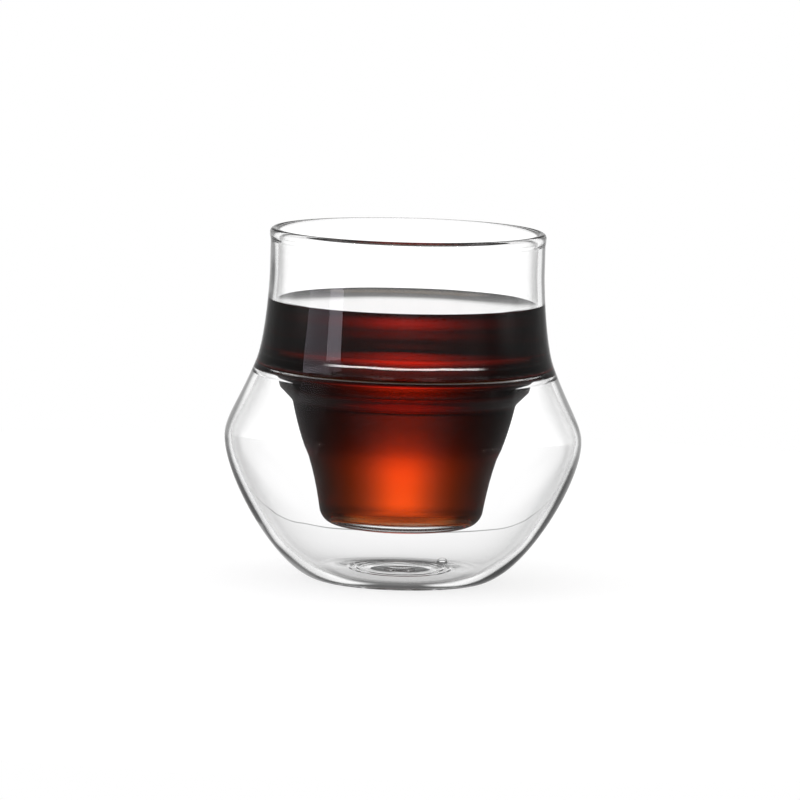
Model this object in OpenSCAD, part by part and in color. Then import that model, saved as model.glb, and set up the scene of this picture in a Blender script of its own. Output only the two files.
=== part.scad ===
// Double walled glass cup: a blown inner glass whose collar is bare, an outer shell
// welded on under the collar, the weld between them and the sealed vent in the base.
// Millimetres, +Z up, origin at the centre of the ring that the cup stands on.

/* [Whole cup] */
// Height from the table to the top of the rim
cup_height = 79; // [76:0.5:86]
// Height of the seam where the outer shell meets the collar
seam_height = 49; // [47:0.25:51]
// Outer diameter at the seam
seam_diameter = 66.8; // [65:0.2:69]

/* [Collar and rim] */
// Outer diameter of the straight part of the collar
collar_diameter = 61.6; // [60:0.2:63]
// Length of the straight part of the collar, from the rim to the start of the flare
straight_length = 9; // [6:0.5:14]
// Wall of the collar
collar_wall = 1.7; // [1.4:0.05:2]
// Thickness of the fire polished rim
rim_thickness = 2.1; // [2:0.05:2.4]
// Length over which the rim swells out of the wall
rim_swell = 2.2; // [1.6:0.1:3]

/* [Inner bowl] */
// Height of the ledge inside the cup over the seam
ledge_rise = 1; // [0.7:0.05:1.6]
// Rounding of the ledge's inner edge
ledge_edge_radius = 1.8; // [1.2:0.1:2.2]
// Rounding in the corner between the ledge and the collar
ledge_root_radius = 1.4; // [1:0.1:1.8]
// Outer diameter of the neck under the ledge
neck_diameter = 56.8; // [55:0.2:58]
// Length of the neck under the sealed gap's crown, down to the step
neck_length = 2.3; // [2:0.1:3.5]
// Height of the step between the neck and the bowl
step_height = 3.2; // [2.8:0.1:4]
// Outer diameter at the foot of the step
step_diameter = 50; // [48:0.2:51]
// Rounding of both corners of the step
step_radius = 2.4; // [2:0.1:2.6]
// Outer diameter where the bowl's side would meet its underside
bowl_foot_diameter = 35.8; // [32:0.2:38]
// Height of the bowl's underside over the table
bowl_underside_height = 12.5; // [11.5:0.1:14]
// Rounding between the bowl's side and its underside
bowl_heel_radius = 3.6; // [3:0.1:4.5]
// Wall of the bowl and the neck
bowl_wall = 1.6; // [1.3:0.05:1.8]
// Thickness of the bowl's floor
bowl_floor = 2.1; // [1.8:0.05:2.6]

/* [Outer shell] */
// Largest diameter, at the belly
belly_diameter = 80.2; // [77:0.2:83]
// Height of the belly
belly_height = 32; // [29:0.25:34]
// Outer diameter of the ring that touches the table
foot_diameter = 35.4; // [33:0.2:38]
// Width of the ring that touches the table
foot_ring_width = 1.6; // [1.2:0.1:2.2]
// Depth of the hollow under the base
punt_depth = 1.1; // [0.6:0.1:1.5]
// Wall beside the weld
shell_top_wall = 1.75; // [1.5:0.05:2]
// Wall at the belly, where the glass was blown out the most
shell_belly_wall = 1.4; // [1.2:0.05:1.7]
// Wall where it thickens into the base
shell_heel_wall = 1.8; // [1.6:0.05:2.2]
// Height inside where the wall turns into the base
heel_ring_height = 9.3; // [8.5:0.1:10.5]
// Glass over the ring that touches the table
base_height = 2; // [1.8:0.05:2.4]
// Radius of the central rise inside the base
rise_radius = 8.8; // [8:0.1:10]
// Height of the central rise over the base
rise_height = 1.3; // [0.8:0.05:1.6]

/* [Weld and vent] */
// Depth of the fused ring, from the seam down to the top of the shell
weld_depth = 3; // [2.6:0.1:3.4]
// Glass over the crown of the sealed gap
weld_roof = 0.9; // [0.7:0.05:1.2]
// Distance of the vent from the axis
vent_offset = 14; // [12:0.25:14.5]
// Diameter of the vent hole
vent_diameter = 1.5; // [1.2:0.05:1.8]
// Diameter of the glass bead that closes the vent
bead_diameter = 2.6; // [2.2:0.05:3]
// Height of the bead over the base
bead_height = 1.3; // [1:0.05:1.6]

/* [Hidden] */
$fn = 96;

// Steps along each curved stretch of an outline
curve_steps = 14;
base_steps = 30;
floor_steps = 16;
corner_steps = 6;

collar_radius = collar_diameter / 2;
seam_radius = seam_diameter / 2;
neck_radius = neck_diameter / 2;
belly_radius = belly_diameter / 2;
foot_radius = foot_diameter / 2;

// How far each curve's handles reach, as shares of the stretch that the curve spans
flare_top_share = 0.2;
flare_seam_share = 0.24;
shoulder_seam_share = 0.57;
shoulder_belly_share = 0.24;
belly_share = 0.305;
foot_share = 0.4;
bowl_top_share = 0.36;
bowl_foot_share = 0.54;
punt_ring_share = 0.25;
punt_crown_share = 0.45;

// How far each stretch of wall leans from upright
seam_lean = 21;
bowl_top_lean = 13;
bowl_foot_lean = 10;

// Rings left in the base by the blowing, from the rise outwards
ripple_count = 2;
ripple_width = 3.4;
ripple_height = 0.12;

// Where the vent lies round the axis, and how far its plug stays in
vent_angle = 46;
plug_recess = 0.6;

// How far a cut runs past the solid it goes through
overrun = 1;

// Points on a cubic curve from start to finish, drawn by its two handles
function curve(start, start_handle, finish_handle, finish, steps) =
    [for (i = [0 : steps])
        let (t = i / steps, u = 1 - t)
        u * u * u * start + 3 * u * u * t * start_handle
            + 3 * u * t * t * finish_handle + t * t * t * finish];

// Points on an arc of an ellipse about a centre, from one angle to another
function arc(centre, across, up, from, to, steps) =
    [for (i = [0 : steps])
        let (angle = from + (to - from) * i / steps)
        centre + [across * cos(angle), up * sin(angle)]];

function unit(v) = v / norm(v);

// Points on the round that replaces a corner between two straight legs
function rounded(before, corner, after, radius, steps) =
    let (
        leg_in = unit(before - corner),
        leg_out = unit(after - corner),
        half_angle = acos(leg_in * leg_out) / 2,
        centre = corner + unit(leg_in + leg_out) * radius / sin(half_angle),
        start = corner + leg_in * radius / tan(half_angle) - centre,
        finish = corner + leg_out * radius / tan(half_angle) - centre,
        sweep = 180 - 2 * half_angle
    )
    [for (i = [0 : steps])
        let (share = i / steps)
        centre + (start * sin(sweep * (1 - share)) + finish * sin(sweep * share)) / sin(sweep)];

// Unit direction downwards that leans outwards by an angle
function downwards(lean) = [sin(lean), -cos(lean)];

// Direction of a falling path at one of its points
function heading(path, i) =
    unit(path[min(i + 1, len(path) - 1)] - path[max(i - 1, 0)]);

// The inner side of a wall: a falling path moved inwards by a wall looked up by height
function lined(path, wall_by_height) =
    [for (i = [0 : len(path) - 1])
        let (ahead = heading(path, i))
        path[i] + lookup(path[i][1], wall_by_height) * [ahead[1], -ahead[0]]];

// A table with soft steps in place of the straight ones between its rows
function eased(rows, steps) = concat(
    [for (i = [0 : len(rows) - 2], j = [0 : steps - 1])
        let (share = j / steps)
        [rows[i][0] + (rows[i + 1][0] - rows[i][0]) * share,
            rows[i][1] + (rows[i + 1][1] - rows[i][1]) * share * share * (3 - 2 * share)]],
    [rows[len(rows) - 1]]);

function reversed(path) = [for (i = [len(path) - 1 : -1 : 0]) path[i]];

// The stretches of a path over and under a height, and its radius at a height
function over(path, height) = [for (p = path) if (p[1] > height) p];
function under(path, height) = [for (p = path) if (p[1] < height) p];
function radius_at(path, height) = lookup(height, [for (p = path) [p[1], p[0]]]);

// Outside of the collar's flare, down to the seam
seam_point = [seam_radius, seam_height];
flare_height = cup_height - straight_length;
flare_length = flare_height - seam_height;
flare_outside = curve(
    [collar_radius, flare_height],
    [collar_radius, flare_height - flare_top_share * flare_length],
    seam_point - flare_seam_share * flare_length * downwards(seam_lean),
    seam_point,
    curve_steps);
flare_inside = lined(flare_outside, [[0, collar_wall]]);

// Outside of the shell, from the seam over the belly to the foot ring
shoulder_length = seam_height - belly_height;
shoulder_outside = curve(
    seam_point,
    seam_point + shoulder_seam_share * shoulder_length * downwards(seam_lean),
    [belly_radius, belly_height + shoulder_belly_share * shoulder_length],
    [belly_radius, belly_height],
    curve_steps);
base_outside = curve(
    [belly_radius, belly_height],
    [belly_radius, belly_height * (1 - belly_share)],
    [foot_radius + foot_share * (belly_radius - foot_radius), 0],
    [foot_radius, 0],
    base_steps);

// The flat joint between the shell's top and the weld
weld_bottom_height = seam_height - weld_depth;
shell_top_radius = radius_at(shoulder_outside, weld_bottom_height);
shell_top_inner_radius = shell_top_radius - shell_top_wall / cos(seam_lean);

// The round crown of the sealed gap, its inner half in the inner glass, its outer half in the weld
crown_radius = (neck_radius + shell_top_inner_radius) / 2;
crown_half_width = shell_top_inner_radius - crown_radius;
crown_rise = weld_depth - weld_roof;
crown_centre = [crown_radius, weld_bottom_height];
crown_in_glass = arc(crown_centre, crown_half_width, crown_rise, 90, 180, corner_steps);
crown_in_weld = arc(crown_centre, crown_half_width, crown_rise, 0, 90, corner_steps);

// Outside of the neck, the step and the bowl, down to the underside
step_top = [neck_radius, weld_bottom_height - neck_length];
step_foot = [step_diameter / 2, step_top[1] - step_height];
bowl_foot = [bowl_foot_diameter / 2, bowl_underside_height];
bowl_top_ahead = downwards(-bowl_top_lean);
bowl_foot_ahead = downwards(-bowl_foot_lean);
neck_round = rounded([neck_radius, seam_height], step_top, step_foot, step_radius, corner_steps);
step_round = rounded(step_top, step_foot, step_foot + bowl_top_ahead, step_radius, corner_steps);
heel_round = rounded(bowl_foot - bowl_foot_ahead, bowl_foot, [0, bowl_underside_height],
    bowl_heel_radius, corner_steps);
bowl_start = step_round[corner_steps];
bowl_finish = heel_round[0];
bowl_length = norm(bowl_finish - bowl_start);
bowl_side = curve(
    bowl_start,
    bowl_start + bowl_top_share * bowl_length * bowl_top_ahead,
    bowl_finish - bowl_foot_share * bowl_length * bowl_foot_ahead,
    bowl_finish,
    curve_steps);
bowl_outside = concat(neck_round, step_round, [for (i = [1 : curve_steps - 1]) bowl_side[i]], heel_round);
bowl_inside = lined(bowl_outside, [
    [bowl_underside_height, bowl_floor],
    [bowl_underside_height + bowl_heel_radius, bowl_wall]]);

// The ledge inside, with a round at its edge and one at its root
ledge_height = seam_height + ledge_rise;
neck_inner_radius = neck_radius - bowl_wall;
ledge_root = [radius_at(flare_inside, ledge_height), ledge_height];
ledge_edge = [neck_inner_radius, ledge_height];
wall_height = ledge_height + ledge_root_radius;
wall_over_root = [radius_at(flare_inside, wall_height), wall_height];
root_round = rounded(wall_over_root, ledge_root, ledge_edge, ledge_root_radius, corner_steps);
edge_round = rounded(ledge_root, ledge_edge, [neck_inner_radius, weld_bottom_height],
    ledge_edge_radius, corner_steps);

// The rim: a round lip a little thicker than the wall, with a soft swell on both sides
lip_radius = rim_thickness / 2;
lip_centre = [collar_radius - collar_wall / 2, cup_height - lip_radius];
lip = arc(lip_centre, lip_radius, lip_radius, 180, 0, 2 * corner_steps);
swell_outside = rim_side(lip_centre[0] + lip_radius, collar_radius);
swell_inside = rim_side(lip_centre[0] - lip_radius, collar_radius - collar_wall);
function rim_side(lip_side, wall_side) =
    let (top = lip_centre[1], middle = top - rim_swell / 2, bottom = top - rim_swell)
    curve([lip_side, top], [lip_side, middle], [wall_side, middle], [wall_side, bottom], corner_steps);

// Inside of the shell: the wall down to the foot, then the base with its rings and its rise
shell_outside = concat(under(shoulder_outside, seam_height), under(base_outside, belly_height));
shell_lined = lined(shell_outside, eased([
    [0, base_height],
    [heel_ring_height, shell_heel_wall],
    [belly_height, shell_belly_wall],
    [weld_bottom_height, shell_top_wall]], corner_steps));
function ripple(share) = ripple_height * (1 - cos(360 * ripple_count * share)) / 2;
ripples = [for (i = [0 : floor_steps])
    let (share = 1 - i / floor_steps)
    [rise_radius + ripple_width * share, base_height + ripple(share)]];
base_floor = concat([[foot_radius - base_height / 2, base_height]], ripples);
function rise(radius) = rise_height * (1 + cos(180 * radius / rise_radius)) / 2;
central_rise = [for (i = [1 : corner_steps * 2])
    let (radius = rise_radius * (1 - i / (corner_steps * 2)))
    [radius, base_height + rise(radius)]];

// The hollow under the base
ring_inner_radius = foot_radius - foot_ring_width;
punt = curve(
    [ring_inner_radius, 0],
    [ring_inner_radius * (1 - punt_ring_share), 0],
    [ring_inner_radius * punt_crown_share, punt_depth],
    [0, punt_depth],
    curve_steps);

// The vent's place in the base
vent_radius = vent_diameter / 2;
plug_length = base_height - plug_recess;

module inner_glass() {
    color([0.86, 0.93, 0.95, 0.5])
        rotate_extrude()
        polygon(concat(
            lip,
            swell_outside,
            flare_outside,
            [[crown_radius, seam_height]],
            crown_in_glass,
            bowl_outside,
            [[0, bowl_underside_height], [0, bowl_underside_height + bowl_floor]],
            reversed(bowl_inside),
            reversed(edge_round),
            reversed(root_round),
            reversed(over(flare_inside, root_round[0][1])),
            reversed(swell_inside)));
}

// The shell before its vent is drilled
module shell_body() {
    rotate_extrude()
        polygon(concat(
            [[shell_top_radius, weld_bottom_height]],
            under(shell_outside, weld_bottom_height),
            punt,
            reversed(central_rise),
            reversed(base_floor),
            reversed(under(shell_lined, weld_bottom_height)),
            [[shell_top_inner_radius, weld_bottom_height]]));
}

module outer_shell() {
    color([0.82, 0.9, 0.94, 0.4])
        difference() {
            shell_body();
            rotate([0, 0, vent_angle])
                translate([vent_offset, 0, -overrun])
                cylinder(r = vent_radius, h = base_height + rise_height + 2 * overrun);
        }
}

module shoulder_weld() {
    color([0.74, 0.84, 0.9, 0.7])
        rotate_extrude()
        polygon(concat(
            [[crown_radius, seam_height], seam_point],
            over(under(shoulder_outside, seam_height), weld_bottom_height),
            [[shell_top_radius, weld_bottom_height]],
            crown_in_weld));
}

module vent_seal() {
    color([0.7, 0.8, 0.88, 0.8])
        rotate([0, 0, vent_angle])
        translate([vent_offset, 0, base_height])
        rotate_extrude()
        polygon(concat(
            [[0, -plug_length], [vent_radius, -plug_length], [vent_radius, 0]],
            arc([0, 0], bead_diameter / 2, bead_height, 0, 90, corner_steps)));
}

inner_glass();
outer_shell();
shoulder_weld();
vent_seal();
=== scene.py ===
"""Looks of a double walled glass cup with brewed coffee in it, in metres, +Z up."""

import logging
import math
from dataclasses import dataclass
from enum import IntEnum

import bpy
from mathutils import Matrix, Vector

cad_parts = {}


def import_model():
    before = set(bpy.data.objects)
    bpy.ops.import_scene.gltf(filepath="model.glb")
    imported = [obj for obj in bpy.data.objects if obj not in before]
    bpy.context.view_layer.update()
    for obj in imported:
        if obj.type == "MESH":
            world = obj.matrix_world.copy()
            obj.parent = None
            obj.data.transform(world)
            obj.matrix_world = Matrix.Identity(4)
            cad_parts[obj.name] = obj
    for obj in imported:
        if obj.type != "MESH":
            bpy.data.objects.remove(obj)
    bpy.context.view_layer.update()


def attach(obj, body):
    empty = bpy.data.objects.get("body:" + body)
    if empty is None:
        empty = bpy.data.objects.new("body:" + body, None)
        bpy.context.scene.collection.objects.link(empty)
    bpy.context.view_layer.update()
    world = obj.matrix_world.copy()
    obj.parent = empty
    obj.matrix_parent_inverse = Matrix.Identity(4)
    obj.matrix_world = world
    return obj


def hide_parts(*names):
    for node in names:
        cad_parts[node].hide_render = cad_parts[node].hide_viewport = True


LOG = logging.getLogger("glass_cup")
BODY = "root"
MM = 0.001
GLASS_IOR = 1.47
COFFEE_IOR = 1.34
MERGE_DISTANCE = 2e-6
SHARP_ANGLE = 40.0
LEAST_STEP = 1e-12

Point = tuple[float, float]
Path = list[Point]
Source = bpy.types.Node | bpy.types.NodeSocket


class Skin(IntEnum):
    """What a stretch of an outline is a boundary of."""

    OPEN_AIR = 0
    WETTED = 1
    FUSED = 2
    SEALED = 3


# Small tools for outlines, which are lists of (radius, height) in millimetres


def along(start: Point, direction: Point, length: float) -> Point:
    """Returns the point that lies a length from start in a direction."""
    return (start[0] + direction[0] * length, start[1] + direction[1] * length)


def direction_to(start: Point, finish: Point) -> Point:
    """Returns the unit direction from start to finish."""
    length = math.dist(start, finish)
    return ((finish[0] - start[0]) / length, (finish[1] - start[1]) / length)


def downwards(lean: float) -> Point:
    """Returns the unit direction downwards that leans outwards by an angle in degrees."""
    return (math.sin(math.radians(lean)), -math.cos(math.radians(lean)))


def curve(start: Point, start_handle: Point, finish_handle: Point, finish: Point, steps: int) -> Path:
    """Draws a cubic curve by its two handles.

    Args:
        start: First point of the curve.
        start_handle: Handle of the first point.
        finish_handle: Handle of the last point.
        finish: Last point of the curve.
        steps: Number of straight steps.

    Returns:
        Points on the curve, both ends included.
    """
    points = []
    for i in range(steps + 1):
        t = i / steps
        shares = ((1 - t) ** 3, 3 * (1 - t) ** 2 * t, 3 * (1 - t) * t * t, t**3)
        corners = (start, start_handle, finish_handle, finish)
        points.append(tuple(sum(part * at[axis] for part, at in zip(shares, corners)) for axis in (0, 1)))
    return points


def arc(centre: Point, across: float, up: float, first: float, last: float, steps: int) -> Path:
    """Draws an arc of an ellipse.

    Args:
        centre: Centre of the ellipse.
        across: Half of its width.
        up: Half of its height.
        first: Angle of the first point in degrees.
        last: Angle of the last point in degrees.
        steps: Number of straight steps.

    Returns:
        Points on the arc, both ends included.
    """
    angles = [math.radians(first + (last - first) * i / steps) for i in range(steps + 1)]
    return [(centre[0] + across * math.cos(a), centre[1] + up * math.sin(a)) for a in angles]


def rounded(before: Point, corner: Point, after: Point, radius: float, steps: int) -> Path:
    """Draws the round that takes the place of a corner.

    Args:
        before: A point on the straight leg that runs into the corner.
        corner: The corner itself.
        after: A point on the straight leg that leaves the corner.
        radius: Radius of the round.
        steps: Number of straight steps.

    Returns:
        Points on the round, both ends included.
    """
    leg_in = direction_to(corner, before)
    leg_out = direction_to(corner, after)
    half = math.acos(leg_in[0] * leg_out[0] + leg_in[1] * leg_out[1]) / 2
    middle = direction_to((0, 0), (leg_in[0] + leg_out[0], leg_in[1] + leg_out[1]))
    centre = along(corner, middle, radius / math.sin(half))
    start = along(corner, leg_in, radius / math.tan(half))
    finish = along(corner, leg_out, radius / math.tan(half))
    sweep = math.pi - 2 * half
    points = []
    for i in range(steps + 1):
        near = math.sin(sweep * (1 - i / steps)) / math.sin(sweep)
        far = math.sin(sweep * i / steps) / math.sin(sweep)
        sides = zip(centre, start, finish)
        points.append(tuple(mid + (left - mid) * near + (right - mid) * far for mid, left, right in sides))
    return points


def looked_up(key: float, table: Path) -> float:
    """Looks a value up in a table, drawn straight between its rows.

    Args:
        key: Key of the value.
        table: Rows of (key, value).

    Returns:
        The value.
    """
    rows = sorted(table)
    if key <= rows[0][0]:
        return rows[0][1]
    for low, high in zip(rows, rows[1:]):
        if key <= high[0]:
            return low[1] + (high[1] - low[1]) * (key - low[0]) / max(high[0] - low[0], LEAST_STEP)
    return rows[-1][1]


def eased(table: Path, steps: int) -> Path:
    """Puts soft steps in place of a table's straight ones.

    Args:
        table: Rows of (key, value).
        steps: Number of rows for each step.

    Returns:
        The longer table.
    """
    rows = sorted(table)
    soft = []
    for low, high in zip(rows, rows[1:]):
        for i in range(steps):
            share = i / steps
            ease = share * share * (3 - 2 * share)
            soft.append((low[0] + (high[0] - low[0]) * share, low[1] + (high[1] - low[1]) * ease))
    return soft + rows[-1:]


def moved_inwards(path: Path, wall_by_height: Path) -> Path:
    """Moves a falling path inwards, across the wall that it is the outer side of.

    Args:
        path: The outer side, from its top down.
        wall_by_height: Table of (height, wall).

    Returns:
        The inner side, from its top down.
    """
    inner = []
    for i, point in enumerate(path):
        ahead = direction_to(path[max(i - 1, 0)], path[min(i + 1, len(path) - 1)])
        inner.append(along(point, (ahead[1], -ahead[0]), looked_up(point[1], wall_by_height)))
    return inner


def over(path: Path, height: float) -> Path:
    """Returns the stretch of a path over a height."""
    return [point for point in path if point[1] > height]


def under(path: Path, height: float) -> Path:
    """Returns the stretch of a path under a height."""
    return [point for point in path if point[1] < height]


def radius_at(path: Path, height: float) -> float:
    """Returns the radius of a path at a height."""
    return looked_up(height, [(point[1], point[0]) for point in path])


@dataclass(frozen=True)
class CupSizes:
    """Sizes of the cup's glass in millimetres, its leans in degrees, and the shares of a stretch that
    the handles of its curve reach."""

    cup_height: float = 79.0
    seam_height: float = 49.0
    seam_radius: float = 33.4
    collar_radius: float = 30.8
    straight_length: float = 9.0
    collar_wall: float = 1.7
    rim_thickness: float = 2.1
    rim_swell: float = 2.2
    ledge_rise: float = 1.0
    ledge_edge_radius: float = 1.8
    ledge_root_radius: float = 1.4
    neck_radius: float = 28.4
    neck_length: float = 2.3
    step_height: float = 3.2
    step_foot_radius: float = 25.0
    step_rounding: float = 2.4
    bowl_foot_radius: float = 17.9
    bowl_underside_height: float = 12.5
    bowl_heel_rounding: float = 3.6
    bowl_wall: float = 1.6
    bowl_floor: float = 2.1
    belly_radius: float = 40.1
    belly_height: float = 32.0
    foot_radius: float = 17.7
    foot_ring_width: float = 1.6
    punt_depth: float = 1.1
    shell_top_wall: float = 1.75
    shell_belly_wall: float = 1.4
    shell_heel_wall: float = 1.8
    heel_ring_height: float = 9.3
    base_height: float = 2.0
    rise_radius: float = 8.8
    rise_height: float = 1.3
    ripple_count: int = 2
    ripple_width: float = 3.4
    ripple_height: float = 0.12
    weld_depth: float = 3.0
    weld_roof: float = 0.9
    seam_lean: float = 21.0
    bowl_top_lean: float = 13.0
    bowl_foot_lean: float = 10.0
    flare_top_share: float = 0.2
    flare_seam_share: float = 0.24
    shoulder_seam_share: float = 0.57
    shoulder_belly_share: float = 0.24
    belly_share: float = 0.305
    foot_share: float = 0.4
    bowl_top_share: float = 0.36
    bowl_foot_share: float = 0.54
    punt_ring_share: float = 0.25
    punt_crown_share: float = 0.45
    plain_collar_rise: float = 3.0
    curve_steps: int = 36
    base_steps: int = 72
    corner_steps: int = 9


class CupOutline:
    """Outlines of all the glass, worked out once from the sizes."""

    def __init__(self, sizes: CupSizes) -> None:
        """Works out the outlines.

        Args:
            sizes: Sizes of the cup's glass.
        """
        self.sizes = sizes
        self.seam = (sizes.seam_radius, sizes.seam_height)
        self.weld_foot = sizes.seam_height - sizes.weld_depth
        self.flare = self._flare()
        self.flare_inside = moved_inwards(self.flare, [(0.0, sizes.collar_wall)])
        self.shoulder = self._shoulder()
        self.base = self._base()
        self.shell_top = radius_at(self.shoulder, self.weld_foot)
        lean = math.cos(math.radians(sizes.seam_lean))
        self.shell_top_inner = self.shell_top - sizes.shell_top_wall / lean
        self.crown_radius = (sizes.neck_radius + self.shell_top_inner) / 2
        self.bowl = self._bowl()
        self.bowl_inside = self._bowl_inside()

    def _flare(self) -> Path:
        """Draws the outside of the collar's flare.

        Returns:
            The path, down to the seam.
        """
        s = self.sizes
        top = s.cup_height - s.straight_length
        length = top - s.seam_height
        return curve(
            (s.collar_radius, top),
            (s.collar_radius, top - s.flare_top_share * length),
            along(self.seam, downwards(s.seam_lean), -s.flare_seam_share * length),
            self.seam,
            s.curve_steps,
        )

    def _shoulder(self) -> Path:
        """Draws the outside of the shoulder.

        Returns:
            The path, from the seam down to the belly.
        """
        s = self.sizes
        length = s.seam_height - s.belly_height
        return curve(
            self.seam,
            along(self.seam, downwards(s.seam_lean), s.shoulder_seam_share * length),
            (s.belly_radius, s.belly_height + s.shoulder_belly_share * length),
            (s.belly_radius, s.belly_height),
            s.curve_steps,
        )

    def _base(self) -> Path:
        """Draws the outside of the base.

        Returns:
            The path, from the belly down to the ring that the cup stands on.
        """
        s = self.sizes
        return curve(
            (s.belly_radius, s.belly_height),
            (s.belly_radius, s.belly_height * (1 - s.belly_share)),
            (s.foot_radius + s.foot_share * (s.belly_radius - s.foot_radius), 0.0),
            (s.foot_radius, 0.0),
            s.base_steps,
        )

    def _bowl(self) -> Path:
        """Draws the outside of the neck, the step and the bowl.

        Returns:
            The path, down to the underside.
        """
        s = self.sizes
        step_top = (s.neck_radius, self.weld_foot - s.neck_length)
        step_foot = (s.step_foot_radius, step_top[1] - s.step_height)
        foot = (s.bowl_foot_radius, s.bowl_underside_height)
        top_ahead = downwards(-s.bowl_top_lean)
        foot_ahead = downwards(-s.bowl_foot_lean)
        neck_top = (s.neck_radius, s.seam_height)
        neck = rounded(neck_top, step_top, step_foot, s.step_rounding, s.corner_steps)
        below_step = along(step_foot, top_ahead, 1.0)
        step = rounded(step_top, step_foot, below_step, s.step_rounding, s.corner_steps)
        above_foot = along(foot, foot_ahead, -1.0)
        under_foot = (0.0, s.bowl_underside_height)
        heel = rounded(above_foot, foot, under_foot, s.bowl_heel_rounding, s.corner_steps)
        length = math.dist(step[-1], heel[0])
        side = curve(
            step[-1],
            along(step[-1], top_ahead, s.bowl_top_share * length),
            along(heel[0], foot_ahead, -s.bowl_foot_share * length),
            heel[0],
            s.curve_steps,
        )
        return neck + step + side[1:-1] + heel

    def _bowl_inside(self) -> Path:
        """Draws the inside of the neck, the step and the bowl.

        Returns:
            The path, from the top down.
        """
        s = self.sizes
        walls = [
            (s.bowl_underside_height, s.bowl_floor),
            (s.bowl_underside_height + s.bowl_heel_rounding, s.bowl_wall),
        ]
        return moved_inwards(self.bowl, walls)

    def crown(self, first: float, last: float) -> Path:
        """Draws an arc of the sealed gap's round crown.

        Args:
            first: Angle of the first point in degrees.
            last: Angle of the last point in degrees.

        Returns:
            The path.
        """
        half_width = self.shell_top_inner - self.crown_radius
        rise = self.sizes.weld_depth - self.sizes.weld_roof
        centre = (self.crown_radius, self.weld_foot)
        return arc(centre, half_width, rise, first, last, self.sizes.corner_steps)

    def rim_side(self, lip_side: float, wall_side: float, lip_height: float) -> Path:
        """Draws one side of the rim's soft swell.

        Args:
            lip_side: Radius of the side at the lip.
            wall_side: Radius of the side at the wall.
            lip_height: Height of the lip's middle.

        Returns:
            The path, from the lip down to the wall.
        """
        middle = lip_height - self.sizes.rim_swell / 2
        foot = lip_height - self.sizes.rim_swell
        lip_point = (lip_side, lip_height)
        handles = ((lip_side, middle), (wall_side, middle))
        return curve(lip_point, *handles, (wall_side, foot), self.sizes.corner_steps)

    def inside(self) -> Path:
        """Draws the inside of the inner glass.

        Returns:
            The path, from the axis up to the lip.
        """
        s = self.sizes
        ledge_height = s.seam_height + s.ledge_rise
        neck_inner = s.neck_radius - s.bowl_wall
        ledge_root = (radius_at(self.flare_inside, ledge_height), ledge_height)
        ledge_edge = (neck_inner, ledge_height)
        wall_height = ledge_height + s.ledge_root_radius
        over_root = (radius_at(self.flare_inside, wall_height), wall_height)
        root = rounded(over_root, ledge_root, ledge_edge, s.ledge_root_radius, s.corner_steps)
        under_edge = (neck_inner, self.weld_foot)
        edge = rounded(ledge_root, ledge_edge, under_edge, s.ledge_edge_radius, s.corner_steps)
        lip_radius = s.rim_thickness / 2
        lip_centre = s.collar_radius - s.collar_wall / 2
        lip_height = s.cup_height - lip_radius
        wall_side = s.collar_radius - s.collar_wall
        swell = self.rim_side(lip_centre - lip_radius, wall_side, lip_height)
        floor = [(0.0, s.bowl_underside_height + s.bowl_floor)]
        flare = over(self.flare_inside, root[0][1])
        return floor + self.bowl_inside[::-1] + edge[::-1] + root[::-1] + flare[::-1] + swell[::-1]

    def wet_edge(self, height: float) -> Point:
        """Returns the point of the collar's inside that lies at a height."""
        collar = over(self.inside(), self.sizes.seam_height + self.sizes.plain_collar_rise)
        return (radius_at(collar, height), height)

    def outside_of_inner_glass(self) -> Path:
        """Draws the outside of the inner glass.

        Returns:
            The path, from the lip down to the centre of the underside.
        """
        s = self.sizes
        lip_radius = s.rim_thickness / 2
        lip_centre = (s.collar_radius - s.collar_wall / 2, s.cup_height - lip_radius)
        lip = arc(lip_centre, lip_radius, lip_radius, 180.0, 0.0, 2 * s.corner_steps)
        swell = self.rim_side(lip_centre[0] + lip_radius, s.collar_radius, lip_centre[1])
        joint = [(self.crown_radius, s.seam_height)]
        crown = self.crown(90.0, 180.0)
        floor = [(0.0, s.bowl_underside_height)]
        return lip[1:] + swell[1:] + self.flare + joint + crown + self.bowl + floor

    def inside_of_shell(self) -> Path:
        """Draws the inside of the outer shell.

        Returns:
            The path, from the centre of the base up to the weld.
        """
        s = self.sizes
        outside = under(self.shoulder, s.seam_height) + under(self.base, s.belly_height)
        walls = [
            (0.0, s.base_height),
            (s.heel_ring_height, s.shell_heel_wall),
            (s.belly_height, s.shell_belly_wall),
            (self.weld_foot, s.shell_top_wall),
        ]
        upper = under(moved_inwards(outside, eased(walls, s.corner_steps)), self.weld_foot)
        steps = s.curve_steps
        rim = s.rise_radius + s.ripple_width
        dish = [(s.foot_radius - s.base_height / 2, s.base_height)]
        for i in range(steps + 1):
            dish.append((rim - s.ripple_width * i / steps, s.base_height + self.ripple(1 - i / steps)))
        count = 2 * s.corner_steps
        radii = [s.rise_radius * i / count for i in range(count)]
        rise = [(radius, s.base_height + self.rise(radius)) for radius in radii]
        top = [(self.shell_top_inner, self.weld_foot)]
        return rise + dish[::-1] + upper[::-1] + top

    def ripple(self, share: float) -> float:
        """Returns the height of the ripples round the rise, at a share of their width."""
        s = self.sizes
        return s.ripple_height * (1 - math.cos(2 * math.pi * s.ripple_count * share)) / 2

    def rise(self, radius: float) -> float:
        """Returns the height of the base's central rise."""
        s = self.sizes
        return s.rise_height * (1 + math.cos(math.pi * radius / s.rise_radius)) / 2

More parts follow.
